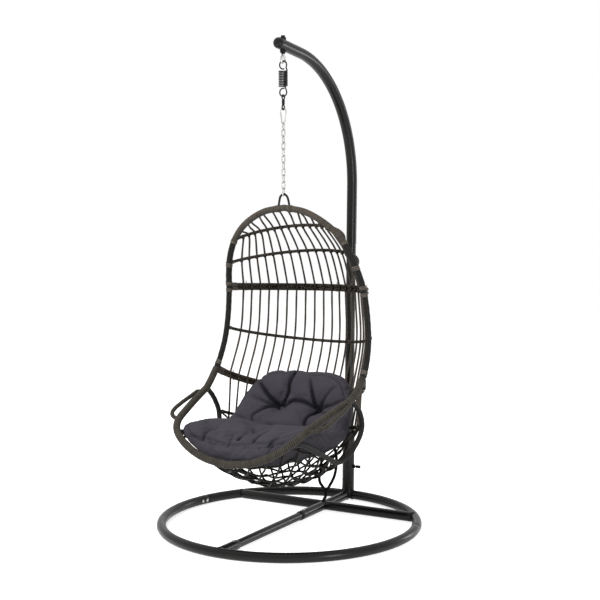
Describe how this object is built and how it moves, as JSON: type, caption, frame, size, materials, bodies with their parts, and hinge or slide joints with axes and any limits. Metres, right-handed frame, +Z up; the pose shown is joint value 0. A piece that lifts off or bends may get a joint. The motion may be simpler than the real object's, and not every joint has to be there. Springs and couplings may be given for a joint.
{
  "type": "hanging egg chair",
  "caption": "Hanging egg chair: woven cage seat with a cushion, hung by spring, swivel, carabiner and chain from a bent post on a round floor stand.",
  "frame": {"origin": "the floor, at the centre of the floor ring", "axes": "+Z up, +Y back towards the post, so that the chair faces -Y at rest, +X along the crossbar"},
  "size_m": [1.054, 1.0922, 1.9331],
  "materials": {
    "black_steel": "satin",
    "zinc_steel": "satin",
    "black_plastic": "satin",
    "wicker_taupe": "satin",
    "wicker_dark": "satin",
    "cushion_fabric": "matt"
  },
  "bodies": {
    "stand": {"base_ring_rear": "black_steel", "base_ring_front": "black_steel", "ring_stub": "black_steel", "spine_front": "black_steel", "spine_hub": "black_steel", "crossbar_left": "black_steel", "crossbar_right": "black_steel", "base_bolts": "zinc_steel", "post_socket": "black_steel", "post_lower": "black_steel", "post_arm": "black_steel", "arm_end_cap": "black_plastic", "eye_bolt": "zinc_steel", "saddle_washers": "black_steel", "eye_bolt_nuts": "black_steel"},
    "knob": {"clamp_knob": "black_plastic"},
    "spring_set": {"spring": "black_steel"},
    "swivel_top": {"swivel_upper": "black_steel"},
    "swivel_bottom": {"swivel_lower": "black_steel"},
    "hanger": {"carabiner": "zinc_steel", "chain_links": "zinc_steel"},
    "gate": {"carabiner_gate": "zinc_steel"},
    "chair": {"hanging_loop": "black_steel", "hood_rim": "wicker_taupe", "hood_rails": "wicker_dark", "hood_joint_rail": "wicker_dark", "hood_slats": "wicker_taupe", "back_side_left": "wicker_dark", "back_side_right": "wicker_dark", "back_joint_rail": "wicker_dark", "back_rail": "wicker_dark", "back_lower_rail": "wicker_dark", "back_slats": "wicker_taupe", "seat_rim": "wicker_taupe", "arm_loop_left": "wicker_taupe", "arm_loop_right": "wicker_taupe", "bucket_tube_left": "wicker_dark", "bucket_tube_right": "wicker_dark", "seat_joint_rail": "wicker_dark", "seat_lower_rail": "wicker_dark", "seat_slats": "wicker_taupe", "seat_net": "wicker_dark", "frame_bolts": "zinc_steel", "frame_nuts": "black_steel", "cushion": "cushion_fabric", "tie_front": "cushion_fabric", "tie_rear": "cushion_fabric", "tie_knot": "cushion_fabric", "tie_tail": "cushion_fabric"}
  },
  "joints": [
    {"name": "fore_aft_swing", "type": "hinge", "parent": "stand", "child": "spring_set", "pos_m": [0, -0.03, 1.8359], "axis": [1, 0, 0], "range_deg": [-4.5, 4.5]},
    {"name": "spring_stretch", "type": "slide", "parent": "spring_set", "child": "swivel_top", "axis": [0, 0, -1], "range_m": [0, 0.025], "stiffness_N_per_m": 27000, "springref_m": -0.008, "deforming": ["spring"]},
    {"name": "chair_swivel", "type": "hinge", "parent": "swivel_top", "child": "swivel_bottom", "pos_m": [0, -0.03, 1.6703], "axis": [0, 0, 1], "continuous": true},
    {"name": "side_sway", "type": "hinge", "parent": "swivel_bottom", "child": "hanger", "pos_m": [0, -0.03, 1.6433], "axis": [0, 1, 0], "range_deg": [-8, 8]},
    {"name": "chair_tilt", "type": "hinge", "parent": "hanger", "child": "chair", "pos_m": [0, -0.03, 1.3186], "axis": [1, 0, 0], "range_deg": [-2.5, 2.5]},
    {"name": "gate_opening", "type": "hinge", "parent": "hanger", "child": "gate", "pos_m": [0.00759, -0.03, 1.60015], "axis": [0, -1, 0], "range_deg": [0, 20], "stiffness_Nm_per_rad": 0.05, "springref_deg": -17.19},
    {"name": "knob_turn", "type": "hinge", "parent": "stand", "child": "knob", "pos_m": [0.035, 0.50771, 0.14394], "axis": [1, 0, 0], "range_deg": [-360, 0]}
  ]
}
